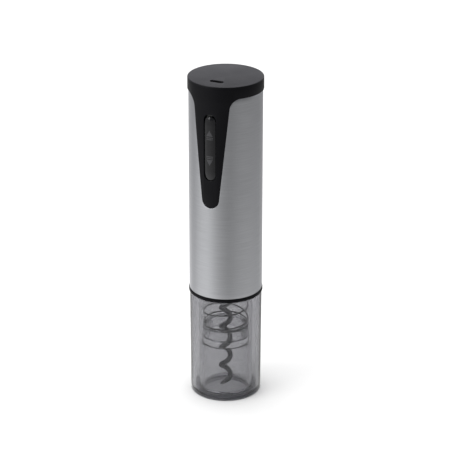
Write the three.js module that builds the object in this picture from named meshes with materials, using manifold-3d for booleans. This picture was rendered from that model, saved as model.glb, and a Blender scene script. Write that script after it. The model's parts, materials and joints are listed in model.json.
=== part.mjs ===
// An electric wine opener: a slim brushed steel cylinder with a black cap and rocker switch, standing on a
// smoked clear base. The base goes over the neck of a bottle. A motor turns the worm through a two-stage
// planetary gearbox; the worm bores into the cork and draws it up past a sprung shuttle.
// Millimetres, +Z up, the front faces -Y, and the origin is the middle of the foot.
import * as THREE from "three";
import { mergeVertices } from "three/addons/utils/BufferGeometryUtils.js";
import Module from "manifold-3d";

const wasm = await Module();
wasm.setup();

// ---- Driving dimensions ----
const HEIGHT = 233; // foot to top of the cap
const GAP = 0.3; // between pieces that meet
const CAP_R = 26;
const CAP_TOP_T = 2.4;
const CAP_SKIRT = { z: 224.8, boreR: 24, fullZ: 226.4 }; // the skirt swells out to CAP_R by fullZ
const CAP_SPIGOT = { r: [20.9, 22.2], z: 219 }; // fits inside the chassis
const TONGUE_R = [24.75, 25.6]; // the black tongue stands a little proud of the steel
const STEEL_R = 25.3;
const STEEL_WALL = 0.6;
const STEEL_Z = [78.9, 224.5];
const CHASSIS_R = 24.4;
const CHASSIS_BORE_R = 22.6;
const CHASSIS_Z = [82.4, 224];
const RING_R = [23.2, 25.7];
const RING_Z = [76.4, 78.6];
const BASE_TOP_Z = 76.1;
const BASE_R = [24.6, 25.1]; // at the foot and at the top: the moulding has a little draft
const BASE_BORE_R = [22.4, 22.6];
const NECK_R = 15.5; // clears the 29.5 mm finish of a wine bottle
const FLOOR_T = 3.4;
const FOOT_CHAMFER = 1.8;
const SPIGOT_R = [21.3, 22.9]; // the base's spigot, which the chassis fits over
const SPIGOT_TOP_Z = 93.3;
const SLEEVE_R = [17.3, 19];
const SLEEVE_Z = [3.7, 96.4];
const SLEEVE_FLANGE = { r: 22.3, z: 93.6 }; // held between the spigot and the shelf
const LEDGE_Z = 37.7; // the shuttle rests here, where the sleeve's bore narrows
const SHUTTLE_Z = [38, 49.8];
const SHUTTLE_R = 16.3;
const SKIRT_BORE_R = [15.6, 15.2]; // the shuttle's skirt narrows from its mouth to the seat
const SEAT_Z = 42; // the bottle's rim meets the shuttle here
const CORK_R = 12.1; // a drawn cork swells to about 24 mm
const SHELF_Z = [96.7, 100.3]; // the chassis shelf that carries the gearbox
const SHELF_R = 13.4;
const MOTOR_SHELF_Z = [150.4, 152.2]; // steadies the motor
const BATTERY_SHELF_Z = [167, 168.6];

// The tongue's front outline: a round tip, straight flaring sides, and fillets out to the skirt.
const TIP_R = 6.55;
const TIP_Z = 152.2; // centre of the tip's arc
const FLARE = Math.atan(0.101); // each side leans out by this angle
const FILLET_R = 5.8;

// The rocker switch.
const ROCKER = { width: 8.2, length: 46.4, z: 189.4, back: -21.4, crownR: 6.5, front: -25.95 };
const WELL = { width: 9, length: 47.4, wall: 1, back: -20.9 };
const PIVOT_Y = -22.9;
const PIN_R = 0.75;
const SWITCH_ARM = 14; // from the pivot to each switch
const BOARD = { y: [-16, -14.4], halfWidth: 10, z: [165, 217.6] };
const SOCKET = { y: -14.2, z: [224.9, 231.2], wall: 0.35 };

// The gearbox: two equal stages, sun 9, planets 18, ring 45 teeth, so 6 to 1 each.
const MODULE = 0.8;
const TEETH = { sun: 9, planet: 18, ring: 45 };
const PLANET_ORBIT = (MODULE * (TEETH.sun + TEETH.planet)) / 2;
const GEARBOX_R = 22.2;
const GEARBOX_Z = [100.6, 122.4];
const GEARBOX_FLOOR_Z = 103.4;
const STAGE_1 = { planets: [116.8, 121.8], disc: [114, 116.4] };
const STAGE_2 = { planets: [107.4, 113.4], disc: [104, 106.9] };
const PLATE_Z = [122.8, 125.3];
const MOTOR_R = 13.85;
const MOTOR_Z = [125.6, 160];

// The worm and its spring.
const WORM = { meanR: 3.05, wireR: 1.7, pitch: 14.4, tipZ: 4.6, fade: [78, 84], topZ: 94, phase: 25, phaseZ: 11.1 };
const HUB_Z = [84, 97.4];
const HUB_R = 5.6;
const SPRING = { meanR: 15.8, wireR: 0.55, bottomZ: 50.6, topZ: 96, closeRise: 1.2, pitch: 10.7, phase: -76 };

const CELL = { r: 7.1, x: 7.6, y: 4, z: [169.1, 218.6], tip: { r: 2.7, rise: 1 } };

// Screws. The base's four are counted from the front, and the plate's three stand between the planets.
const BASE_SCREW_R = 20.9;
const BASE_SCREW_ANGLES = [-60, 60, 120, 240];
const BASE_SCREW = { z: [88, 99, 100.1], shankR: 0.75, headR: 1.8 };
const PLATE_SCREW_R = 20.5;
const PLATE_SCREW = { z: [118.8, 125.4, 126.4], shankR: 0.8, headR: 1.5 };
const MOTOR_SCREW_X = 8;
const MOTOR_SCREW = { z: [122.95, 124.1, 129], shankR: 1.15, headR: 2.1 };

const BEYOND = 1; // how far a cutting solid passes the face that it cuts
const ROUND = 36; // sides of the large round parts
const FINE = 48; // sides of the outermost ones
const SMALL = 12; // sides of screws and pins

// ---- Materials ----
const finish = (color, roughness, metalness = 0) => new THREE.MeshStandardMaterial({ color, roughness, metalness });
const smoked = () =>
  new THREE.MeshStandardMaterial({ color: 0x8c8c92, roughness: 0.05, transparent: true, opacity: 0.4 });
const softBlack = finish(0x17171a, 0.6);
const satinSteel = finish(0x9b9da0, 0.35, 1);
const gloss = finish(0x1b1b1e, 0.25);
const chassisBlack = finish(0x222225, 0.55);
const smokedClear = smoked();
const coated = finish(0x2f2f33, 0.35, 0.3);
const springSteel = finish(0x8a8b8e, 0.3, 1);
const nylon = finish(0xe4dfd0, 0.5);
const zinc = finish(0xb8bbbf, 0.3, 1);
const bronze = finish(0xa8794a, 0.45, 1);
const boardGreen = finish(0x1e5a38, 0.4);
const cellBlue = finish(0x2f6fb0, 0.4);
const leadRed = finish(0xb3261e, 0.5);
const leadBlack = finish(0x1a1a1a, 0.5);
const felt = finish(0x5a5650, 0.95);

// ---- Making solids ----
/** A solid from a three.js geometry, with shared corners merged and its faces turned out. */
function solid(geometry) {
  const loose = geometry.index ? geometry.toNonIndexed() : geometry.clone();
  const bare = new THREE.BufferGeometry().setAttribute("position", loose.getAttribute("position"));
  const merged = mergeVertices(bare, 1e-4);
  const corners = merged.index.array;
  const kept = [];
  for (let i = 0; i < corners.length; i += 3) {
    const [a, b, c] = corners.subarray(i, i + 3);
    if (a !== b && b !== c && c !== a) kept.push([a, b, c]);
  }
  const vertProperties = merged.attributes.position.array;
  const build = (faces) =>
    new wasm.Manifold(new wasm.Mesh({ numProp: 3, vertProperties, triVerts: new Uint32Array(faces.flat()) }));
  const made = build(kept);
  return made.volume() > 0 ? made : build(kept.map(([a, b, c]) => [a, c, b]));
}

/** A solid turned about +Z from a closed outline of [radius, height] points. */
function turned(outline, segments = ROUND) {
  const loop = [...outline, outline[0]].map(([r, z]) => new THREE.Vector2(r, z));
  return solid(new THREE.LatheGeometry(loop, segments).rotateX(Math.PI / 2));
}

const ring = (inner, outer, [low, high], segments = ROUND) =>
  turned([[inner, low], [outer, low], [outer, high], [inner, high]], segments);

const disc = (radius, [low, high], segments = ROUND) => ring(0, radius, [low, high], segments);

/** A round bar between two heights, standing at (x, y). */
const post = (x, y, radius, span, segments = SMALL) => disc(radius, span, segments).translate([x, y, 0]);

const block = ([x0, x1], [y0, y1], [z0, z1]) =>
  solid(new THREE.BoxGeometry(x1 - x0, y1 - y0, z1 - z0).translate((x0 + x1) / 2, (y0 + y1) / 2, (z0 + z1) / 2));

/** A flat shape pushed up from one height to another. */
const raised = (shape, [low, high], curveSegments = 8) =>
  solid(
    new THREE.ExtrudeGeometry(shape, { depth: high - low, bevelEnabled: false, curveSegments }).translate(0, 0, low),
  );

/** A shape drawn in the front view, x across and y up, pushed through from one depth to another. */
const fromFront = (shape, [near, far], curveSegments = 8) =>
  solid(
    new THREE.ExtrudeGeometry(shape, { depth: far - near, bevelEnabled: false, curveSegments })
      .rotateX(Math.PI / 2)
      .translate(0, far, 0),
  );

/** A round bar along X. */
const crossBar = (radius, [x0, x1], y, z, segments = SMALL) =>
  solid(
    new THREE.CylinderGeometry(radius, radius, x1 - x0, segments).rotateZ(Math.PI / 2).translate((x0 + x1) / 2, y, z),
  );

/** A round bar along Y. */
const foreBar = (radius, x, [y0, y1], z, segments = SMALL) =>
  solid(new THREE.CylinderGeometry(radius, radius, y1 - y0, segments).translate(x, (y0 + y1) / 2, z));

const join = (...parts) => parts.reduce((all, part) => all.add(part));
const cut = (whole, ...tools) => tools.reduce((left, tool) => left.subtract(tool), whole);

/** Copies of a solid turned about +Z, at each of the angles in degrees. */
const around = (part, angles) => angles.map((angle) => part.rotate([0, 0, angle]));

/** The angles of count equal steps, from a first angle. */
const steps = (count, first = 0) => Array.from({ length: count }, (_, i) => first + (i * 360) / count);

/** A point at a radius and an angle in degrees, anticlockwise from +X. */
const polar = (radius, angle) => [
  radius * Math.cos(THREE.MathUtils.degToRad(angle)),
  radius * Math.sin(THREE.MathUtils.degToRad(angle)),
];

/** A shape with two straight sides and round ends; upright unless it is wider than it is tall. */
function pill(width, height, centreX, centreY) {
  const shape = new THREE.Shape();
  const r = Math.min(width, height) / 2;
  const [dx, dy] = [width / 2 - r, height / 2 - r];
  const turn = dx > dy ? Math.PI / 2 : 0;
  shape.absarc(centreX + dx, centreY + dy, r, -turn, Math.PI - turn, false);
  shape.absarc(centreX - dx, centreY - dy, r, Math.PI - turn, 2 * Math.PI - turn, false);
  return shape;
}

/** A round section swept along a path. */
function swept(path, radius, pathSteps, sides) {
  const section = new THREE.Shape(
    Array.from({ length: sides }, (_, i) => new THREE.Vector2(...polar(radius, (i * 360) / sides))),
  );
  return new THREE.ExtrudeGeometry(section, { steps: pathSteps, extrudePath: path, bevelEnabled: false });
}

/** A path whose point at t, from 0 to 1, is given by a function. */
class Path extends THREE.Curve {
  constructor(at) {
    super();
    this.at = at;
  }
  getPoint(t) {
    return this.at(t);
  }
}

// ---- The group, and adding a finished solid to it ----
const opener = new THREE.Group();

function add(name, made, material) {
  const { vertProperties, triVerts } = made.getMesh();
  const geometry = new THREE.BufferGeometry()
    .setAttribute("position", new THREE.BufferAttribute(new Float32Array(vertProperties), 3))
    .setIndex(new THREE.BufferAttribute(new Uint32Array(triVerts), 1));
  geometry.computeVertexNormals();
  const mesh = new THREE.Mesh(geometry, material);
  mesh.name = name;
  opener.add(mesh);
}

// ---- Cap, tongue and steel sleeve ----
const FRONT_HALF = [-30, -5]; // deep enough to cross the front wall alone
const PIN_SPAN = [-5.4, 5.4];

/** The tongue's outline in the front view. A positive inset makes the tongue smaller. */
function tongueOutline(inset, topZ) {
  const filletZ = STEEL_Z[1] - FILLET_R;
  const sideX = TIP_R / Math.cos(FLARE) + (filletZ - TIP_Z) * Math.tan(FLARE);
  const filletX = sideX + FILLET_R / Math.cos(FLARE);
  const radius = FILLET_R + inset;
  const shape = new THREE.Shape();
  shape.moveTo(-filletX, topZ);
  shape.absarc(-filletX, filletZ, radius, Math.PI / 2, FLARE, true);
  shape.absarc(0, TIP_Z, TIP_R - inset, Math.PI + FLARE, 2 * Math.PI - FLARE, false);
  shape.absarc(filletX, filletZ, radius, Math.PI - FLARE, Math.PI / 2, true);
  shape.lineTo(filletX, topZ);
  return shape;
}

function topCap() {
  const underZ = HEIGHT - CAP_TOP_T;
  const edge = 0.9; // the rim is rounded off by this much
  const shell = turned([
    [0, underZ],
    [CAP_SKIRT.boreR, underZ],
    [CAP_SKIRT.boreR, CAP_SKIRT.z],
    [TONGUE_R[1], CAP_SKIRT.z],
    [CAP_R, CAP_SKIRT.fullZ],
    [CAP_R, HEIGHT - edge],
    [CAP_R - edge * 0.28, HEIGHT - edge * 0.28],
    [CAP_R - edge, HEIGHT],
    [0, HEIGHT],
  ], FINE);
  const spigot = ring(...CAP_SPIGOT.r, [CAP_SPIGOT.z, underZ + BEYOND / 2]);
  const tongueShell = ring(...TONGUE_R, [TIP_Z - TIP_R - BEYOND, CAP_SKIRT.fullZ], FINE);
  const tongue = tongueShell.intersect(fromFront(tongueOutline(GAP, CAP_SKIRT.fullZ), FRONT_HALF, 10));
  const wellOuter = pill(WELL.width + 2 * WELL.wall, WELL.length + 2 * WELL.wall, 0, ROCKER.z);
  const wellFrame = fromFront(wellOuter, [-CAP_R, WELL.back]).intersect(disc(STEEL_R, [MOTOR_SHELF_Z[0], underZ]));
  const wellHole = fromFront(pill(WELL.width, WELL.length, 0, ROCKER.z), [-30, WELL.back + BEYOND]);
  const pinHole = crossBar(PIN_R + 0.1, PIN_SPAN.map((x) => x * 1.3), PIVOT_Y, ROCKER.z);
  const boardPosts = [-6.6, 6.6].map((x) => post(x, -9.8, 1.3, [SOCKET.z[0], underZ + BEYOND / 2]));
  const socketHole = raised(pill(9.6, 3.7, 0, SOCKET.y), [underZ - BEYOND, HEIGHT + BEYOND], 6);
  const whole = join(shell, spigot, tongue, wellFrame, ...boardPosts);
  return cut(whole, wellHole, pinHole, socketHole);
}

function steelSleeve() {
  const tube = ring(STEEL_R - STEEL_WALL, STEEL_R, STEEL_Z, FINE);
  return cut(tube, fromFront(tongueOutline(0, STEEL_Z[1] + BEYOND), FRONT_HALF, 10));
}

add("top_cap", topCap(), softBlack);
add("steel_sleeve", steelSleeve(), satinSteel);

const RING_LIP = { r: 24.45, z: 82.1 }; // reaches up behind the steel
add(
  "joint_ring",
  turned([
    [RING_R[0], RING_Z[0]],
    [RING_R[1], RING_Z[0]],
    [RING_R[1], RING_Z[1]],
    [RING_LIP.r, RING_Z[1]],
    [RING_LIP.r, RING_LIP.z],
    [RING_R[0], RING_LIP.z],
  ], FINE),
  chassisBlack,
);

// ---- Clear base, guide sleeve and shuttle ----
/** A solid for each of the base's four screws: a post of a radius between two heights. */
const atBaseScrews = (radius, span) => BASE_SCREW_ANGLES.map((a) => post(...polar(BASE_SCREW_R, a), radius, span));

function clearBase() {
  const lip = 0.6; // eases the edge that the bottle meets first
  const wall = turned([
    [NECK_R + lip, 0],
    [BASE_R[0] - FOOT_CHAMFER, 0],
    [BASE_R[0], FOOT_CHAMFER],
    [BASE_R[1], BASE_TOP_Z],
    [SPIGOT_R[1], BASE_TOP_Z],
    [SPIGOT_R[1], SPIGOT_TOP_Z],
    [SPIGOT_R[0], SPIGOT_TOP_Z],
    [SPIGOT_R[0], BASE_TOP_Z + 0.4],
    [BASE_BORE_R[1], BASE_TOP_Z - 1.6],
    [BASE_BORE_R[0], FLOOR_T],
    [NECK_R, FLOOR_T],
    [NECK_R, lip],
  ], FINE);
  const bossZ = 86;
  const bosses = atBaseScrews(1.6, [bossZ, SPIGOT_TOP_Z]);
  const holes = atBaseScrews(BASE_SCREW.shankR + 0.15, [BASE_SCREW.z[0] - 0.6, SPIGOT_TOP_Z + BEYOND]);
  return cut(join(wall, ...bosses), ...holes);
}

function guideSleeve() {
  const tube = turned([
    [NECK_R, SLEEVE_Z[0]],
    [SLEEVE_R[1], SLEEVE_Z[0]],
    [SLEEVE_R[1], SLEEVE_FLANGE.z],
    [SLEEVE_FLANGE.r, SLEEVE_FLANGE.z],
    [SLEEVE_FLANGE.r, SLEEVE_Z[1]],
    [SLEEVE_R[0], SLEEVE_Z[1]],
    [SLEEVE_R[0], LEDGE_Z],
    [NECK_R, LEDGE_Z],
  ]);
  return cut(tube, ...atBaseScrews(1.15, [SLEEVE_FLANGE.z - BEYOND, SLEEVE_Z[1] + BEYOND]));
}

function shuttle() {
  const collar = turned([
    [SKIRT_BORE_R[0], SHUTTLE_Z[0]],
    [SHUTTLE_R, SHUTTLE_Z[0]],
    [SHUTTLE_R, SHUTTLE_Z[1]],
    [CORK_R, SHUTTLE_Z[1]],
    [CORK_R, SEAT_Z],
    [SKIRT_BORE_R[1], SEAT_Z],
  ]);
  const finReach = 1.2; // the fins bite the cork and stop it turning
  const fin = block([CORK_R - finReach, CORK_R + 0.5], [-0.5, 0.5], [SEAT_Z + 0.8, SHUTTLE_Z[1] - 0.8]);
  return join(collar, ...around(fin, [0, 180]));
}

add("clear_base", clearBase(), smokedClear);
add("guide_sleeve", guideSleeve(), smokedClear);
add("shuttle", shuttle(), smokedClear);

// ---- Worm and spring ----
/** The worm's wire: a right-handed helix that runs in to the axis and up into the hub. */
const wormPath = new Path((t) => {
  const z = THREE.MathUtils.lerp(WORM.tipZ, WORM.topZ, t);
  const radius = WORM.meanR * (1 - THREE.MathUtils.smoothstep(z, ...WORM.fade));
  return new THREE.Vector3(...polar(radius, WORM.phase + (360 * (z - WORM.phaseZ)) / WORM.pitch), z);
});

/** Draws the end of a swept wire in to a point over a length above its lowest point. */
function sharpen(geometry, path, length) {
  const position = geometry.getAttribute("position");
  const corner = new THREE.Vector3();
  const centre = new THREE.Vector3();
  for (let i = 0; i < position.count; i += 1) {
    corner.fromBufferAttribute(position, i);
    if (corner.z > WORM.tipZ + length + WORM.wireR) continue;
    let nearest = Infinity;
    let along = 0;
    for (let t = 0; t <= 0.15; t += 0.0005) {
      const distance = path.getPoint(t).distanceTo(corner);
      if (distance < nearest) [nearest, along] = [distance, t];
    }
    centre.copy(path.getPoint(along));
    const grown = THREE.MathUtils.clamp((centre.z - WORM.tipZ) / length, 0.3, 1);
    corner.lerp(centre, 1 - grown);
    position.setXYZ(i, corner.x, corner.y, corner.z);
  }
  return geometry;
}

/** The spring's wire: one closed turn at each end and open turns between them. */
const openTurns = (SPRING.topZ - SPRING.bottomZ - 2 * SPRING.closeRise) / SPRING.pitch;
const springPath = new Path((t) => {
  const turn = t * (openTurns + 2);
  const open = THREE.MathUtils.clamp(turn - 1, 0, openTurns);
  const z = SPRING.bottomZ + open * SPRING.pitch + (turn - open) * SPRING.closeRise;
  return new THREE.Vector3(...polar(SPRING.meanR, SPRING.phase + 360 * turn), z);
});

const WORM_STEPS = 76;
const WORM_POINT = 4.2; // length that is ground to a point
const SPRING_STEPS = 84;
add("worm", solid(sharpen(swept(wormPath, WORM.wireR, WORM_STEPS, 6), wormPath, WORM_POINT)), coated);
add("spring", solid(swept(springPath, SPRING.wireR, SPRING_STEPS, 5)), springSteel);

// ---- Chassis: two half shells with the shelves that carry the works ----
function chassis() {
  const [low, high] = CHASSIS_Z;
  const socketR = SPIGOT_R[1] + GAP;
  const whole = turned([
    [CHASSIS_R, low],
    [CHASSIS_R, high],
    [CHASSIS_BORE_R, high],
    [CHASSIS_BORE_R, BATTERY_SHELF_Z[1]],
    [9, BATTERY_SHELF_Z[1]],
    [9, BATTERY_SHELF_Z[0]],
    [CHASSIS_BORE_R, BATTERY_SHELF_Z[0]],
    [CHASSIS_BORE_R, MOTOR_SHELF_Z[1]],
    [MOTOR_R + GAP, MOTOR_SHELF_Z[1]],
    [MOTOR_R + GAP, MOTOR_SHELF_Z[0]],
    [CHASSIS_BORE_R, MOTOR_SHELF_Z[0]],
    [CHASSIS_BORE_R, SHELF_Z[1]],
    [SHELF_R, SHELF_Z[1]],
    [SHELF_R, SHELF_Z[0]],
    [CHASSIS_BORE_R, SHELF_Z[0]],
    [CHASSIS_BORE_R, SPIGOT_TOP_Z],
    [socketR, SPIGOT_TOP_Z],
    [socketR, low],
  ], 32);
  /** A bar from the wall inward on each side, centred at an x and as wide as twice a half width. */
  const onBothSides = (x, half, depth, span) =>
    [-1, 1].map((side) => block([side * x - half, side * x + half], depth, span));
  const boardRails = onBothSides(14, 4.6, [-14.1, -12.9], [170, 217]);
  const cradleArms = onBothSides(19.3, 3.7, [-5, -3.6], [172, 216]);
  const margin = WELL.wall + GAP;
  const windowShape = pill(WELL.width + 2 * margin, WELL.length + 2 * margin, 0, ROCKER.z);
  const window = fromFront(windowShape, [-26, -16.5], 6);
  const boardSlot = block([-11.5, 11.5], [-23, -13.2], [166, 169.5]);
  const shanks = atBaseScrews(1.15, [SPIGOT_TOP_Z + BEYOND, SHELF_Z[1] + BEYOND]);
  const heads = atBaseScrews(BASE_SCREW.headR + GAP, [BASE_SCREW.z[1] - 0.1, SHELF_Z[1] + BEYOND]);
  return cut(join(whole, ...boardRails, ...cradleArms), window, boardSlot, ...shanks, ...heads);
}

const wholeChassis = chassis();
const halfSpace = (side) => block(side < 0 ? [-30, -GAP / 2] : [GAP / 2, 30], [-30, 30], [70, 240]);
add("chassis_left", wholeChassis.intersect(halfSpace(-1)), chassisBlack);
add("chassis_right", wholeChassis.intersect(halfSpace(1)), chassisBlack);

// ---- Gears ----
const PRESSURE = THREE.MathUtils.degToRad(25);
const ADDENDUM = 0.8 * MODULE;
const DEDENDUM = 1.05 * MODULE;
const BACKLASH = 0.12; // taken off each tooth's thickness

/** Half the angle that a tooth fills at a radius, on an involute of the pressure angle. */
function halfTooth(teeth, radius, thinner) {
  const pitchR = (MODULE * teeth) / 2;
  const baseR = pitchR * Math.cos(PRESSURE);
  const involute = (r) => {
    const angle = Math.acos(Math.min(1, baseR / r));
    return Math.tan(angle) - angle;
  };
  return Math.PI / (2 * teeth) - thinner / (2 * pitchR) + involute(pitchR) - involute(Math.max(radius, baseR));
}

/** A gear's outline, with one tooth centred on the angle in degrees. An inner one is the hole in a ring gear. */
function gearOutline(teeth, angle, inner = false) {
  const pitchR = (MODULE * teeth) / 2;
  const rootR = pitchR - (inner ? ADDENDUM : DEDENDUM);
  const tipR = pitchR + (inner ? DEDENDUM : ADDENDUM);
  const thinner = inner ? -BACKLASH : BACKLASH;
  const points = [];
  for (let i = 0; i < teeth; i += 1) {
    const middle = THREE.MathUtils.degToRad(angle) + (i * 2 * Math.PI) / teeth;
    const [atRoot, atTip] = [rootR, tipR].map((r) => halfTooth(teeth, r, thinner));
    for (const [r, a] of [[rootR, -atRoot], [tipR, -atTip], [tipR, atTip], [rootR, atRoot]]) {
      points.push(new THREE.Vector2(r * Math.cos(middle + a), r * Math.sin(middle + a)));
    }
  }
  return new THREE.Shape(points);
}

const PLANET_ANGLES = steps(3, 90);
const PLANET_BORE_R = 1.6;
const PLANET_PIN_R = 1.5;
const CARRIER_R = 14.2;

/** A planet on its orbit. Its teeth mesh with a sun whose tooth points along each planet's angle. */
function planet(angle, span) {
  const [x, y] = polar(PLANET_ORBIT, angle);
  const half = 180 / TEETH.planet;
  const gear = raised(gearOutline(TEETH.planet, angle + 180 + half), span);
  return cut(gear, disc(PLANET_BORE_R, [span[0] - 1, span[1] + 1], SMALL)).translate([x, y, 0]);
}

/** A carrier's disc with a pin for each planet. */
function carrier({ planets, disc: span }) {
  const pinSpan = [span[1] - 1, planets[1] - 0.1];
  const pins = PLANET_ANGLES.map((a) => post(...polar(PLANET_ORBIT, a), PLANET_PIN_R, pinSpan));
  return join(disc(CARRIER_R, span, 24), ...pins);
}

const sun = (span) => raised(gearOutline(TEETH.sun, PLANET_ANGLES[0]), span);

/** The ring's tooth space that meets the tooth which a planet turns half a tooth past its own angle. */
function ringPhase(toothAngle) {
  const pastOrbit = toothAngle - PLANET_ANGLES[0];
  return PLANET_ANGLES[0] + (pastOrbit * TEETH.planet) / TEETH.ring;
}

const PLATE_SCREW_ANGLES = steps(3, 30);
const SPINDLE_R = 4;
const BUSH = { r: 6, flangeR: 7.2, z: [99.4, 103.6], flangeZ: [99.2, 100.3] };

/** A hole for each of the plate's three screws. */
const plateHoles = (span) => {
  const radius = PLATE_SCREW.shankR + 0.15;
  return PLATE_SCREW_ANGLES.map((a) => post(...polar(PLATE_SCREW_R, a), radius, span, 8));
};

function gearboxHousing() {
  const cup = disc(GEARBOX_R, GEARBOX_Z);
  // A planet's tooth points outward when its tooth count is even and a gap faces the sun.
  const toothSpace = PLANET_ANGLES[0] + 180 / TEETH.planet;
  const openTopZ = GEARBOX_Z[1] + BEYOND;
  const teeth = raised(gearOutline(TEETH.ring, ringPhase(toothSpace), true), [GEARBOX_FLOOR_Z, openTopZ]);
  const bushHole = disc(BUSH.r + 0.15, [GEARBOX_Z[0] - BEYOND, GEARBOX_FLOOR_Z + BEYOND], 32);
  return cut(cup, teeth, bushHole, ...plateHoles([PLATE_SCREW.z[0] - 0.4, openTopZ]));
}

add("gearbox_housing", gearboxHousing(), nylon);

["a", "b", "c"].forEach((letter, i) => {
  add(`planet_1${letter}`, planet(PLANET_ANGLES[i], STAGE_1.planets), nylon);
  add(`planet_2${letter}`, planet(PLANET_ANGLES[i], STAGE_2.planets), nylon);
});
const SET_SCREW = { r: 1.15, z: 90 };
const SHAFT_R = 1.15;
add("stage_1_carrier", join(carrier(STAGE_1), sun([STAGE_2.planets[0] - 0.1, STAGE_1.disc[0] + 0.5])), nylon);
add(
  "output_spindle",
  cut(
    join(carrier(STAGE_2), disc(SPINDLE_R, [HUB_Z[0], STAGE_2.disc[1]], 24), disc(HUB_R, HUB_Z, 24)),
    disc(WORM.wireR + GAP, [HUB_Z[0] - BEYOND, WORM.topZ + 2 * GAP], SMALL),
    foreBar(SET_SCREW.r + 0.2, 0, [-HUB_R - BEYOND, 0], SET_SCREW.z),
  ),
  zinc,
);
add("worm_set_screw", foreBar(SET_SCREW.r, 0, [-5.2, -WORM.wireR - GAP], SET_SCREW.z), zinc);
add("motor_pinion", join(sun([STAGE_1.planets[0] + 0.1, 122.2]), disc(SHAFT_R, [122, 132.5], SMALL)), zinc);

// ---- Output bearing and seal ----
const BUSH_BORE_R = SPINDLE_R + 0.1;
const bushBody = ring(BUSH_BORE_R, BUSH.r, BUSH.z, 24);
add("output_bush", join(bushBody, ring(BUSH_BORE_R, BUSH.flangeR, BUSH.flangeZ, 24)), bronze);
add("spindle_seal", ring(SPINDLE_R + 0.15, 6.9, [97.8, 98.9], 24), felt);

// ---- Motor and its plate ----
/** A post at each of the motor's two screws. */
const atMotorScrews = (radius, span) => [-MOTOR_SCREW_X, MOTOR_SCREW_X].map((x) => post(x, 0, radius, span));
const MOTOR_THREAD_R = MOTOR_SCREW.shankR + 0.2;

function motorPlate() {
  const through = [PLATE_Z[0] - BEYOND, PLATE_Z[1] + BEYOND];
  const headRecess = [PLATE_Z[0] - BEYOND, MOTOR_SCREW.z[1] + 0.1];
  return cut(
    disc(GEARBOX_R, PLATE_Z, ROUND),
    disc(3.2, through, 16),
    ...atMotorScrews(MOTOR_THREAD_R, through),
    ...atMotorScrews(MOTOR_SCREW.headR + 0.2, headRecess),
    ...plateHoles(through),
  );
}

function motorCan() {
  const [low, high] = MOTOR_Z;
  const can = turned([
    [0, low],
    [MOTOR_R - 1, low],
    [MOTOR_R, low + 1],
    [MOTOR_R, high],
    [0, high],
  ], 24);
  const shaftHole = disc(SHAFT_R + 0.25, [low - BEYOND, 133.2], SMALL);
  return cut(can, shaftHole, ...atMotorScrews(MOTOR_THREAD_R, [low - BEYOND, MOTOR_SCREW.z[2] + 0.4]));
}

const TERMINALS = [-5, 5];
add("motor_plate", motorPlate(), zinc);
add("motor_can", motorCan(), zinc);
add(
  "motor_endcap",
  join(
    disc(MOTOR_R - 0.6, [160.2, 164.6], 24),
    disc(4.2, [164, 166.2], 16),
    ...TERMINALS.map((x) => block([x - 0.4, x + 0.4], [-1.4, 1.4], [164, 167])),
  ),
  chassisBlack,
);

// ---- Rocker switch and its boards ----
const ROCKER_TOP_Z = ROCKER.z + SWITCH_ARM;
const ROCKER_LOW_Z = ROCKER.z - SWITCH_ARM;
const BOSS_Y = -20.75; // the back of each boss, which presses a plunger
const PLUNGER = { r: 1.55, y: [-20.6, -17.2] };

function rockerButton() {
  const bar = fromFront(pill(ROCKER.width, ROCKER.length, 0, ROCKER.z), [-28, ROCKER.back], 8);
  const crownY = ROCKER.front + ROCKER.crownR;
  const crown = disc(ROCKER.crownR, [160, 220], 40).translate([0, crownY, 0]);
  const bosses = [ROCKER_TOP_Z, ROCKER_LOW_Z].map((z) => foreBar(1.4, 0, [ROCKER.back - 0.5, BOSS_Y], z));
  return cut(join(bar.intersect(crown), ...bosses), crossBar(PIN_R + 0.1, [-7, 7], PIVOT_Y, ROCKER.z));
}

function tactSwitch(z) {
  const body = block([-3, 3], [-19.2, BOARD.y[0] - 0.1], [z - 3, z + 3]);
  return cut(body, foreBar(PLUNGER.r + 0.25, 0, [-20, PLUNGER.y[1] + 0.75], z));
}

add("rocker_button", rockerButton(), gloss);
add("rocker_pin", crossBar(PIN_R, PIN_SPAN, PIVOT_Y, ROCKER.z), zinc);
add("switch_up", tactSwitch(ROCKER_TOP_Z), chassisBlack);
add("switch_down", tactSwitch(ROCKER_LOW_Z), chassisBlack);
add("plunger_up", foreBar(PLUNGER.r, 0, PLUNGER.y, ROCKER_TOP_Z), nylon);
add("plunger_down", foreBar(PLUNGER.r, 0, PLUNGER.y, ROCKER_LOW_Z), nylon);
add("control_board", block([-BOARD.halfWidth, BOARD.halfWidth], BOARD.y, BOARD.z), boardGreen);
add("motor_driver", block([-4, 4], [BOARD.y[1] + GAP, BOARD.y[1] + 1.9], [184, 192]), chassisBlack);
add("charge_board", block([-8.4, 8.4], [-17.8, -8.6], [223, 224.6]), boardGreen);

function chargeSocket() {
  const [width, depth] = [8.9, 3.2];
  const [low, high] = SOCKET.z;
  const inner = [width - 2 * SOCKET.wall, depth - 2 * SOCKET.wall];
  const shell = raised(pill(width, depth, 0, SOCKET.y), SOCKET.z, 6);
  const mouth = raised(pill(...inner, 0, SOCKET.y), [low + 1.1, high + BEYOND], 6);
  const contacts = block([-3.2, 3.2], [SOCKET.y - 0.35, SOCKET.y + 0.35], [low + 0.6, high - 1.2]);
  return join(cut(shell, mouth), contacts);
}
add("charge_socket", chargeSocket(), zinc);

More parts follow.
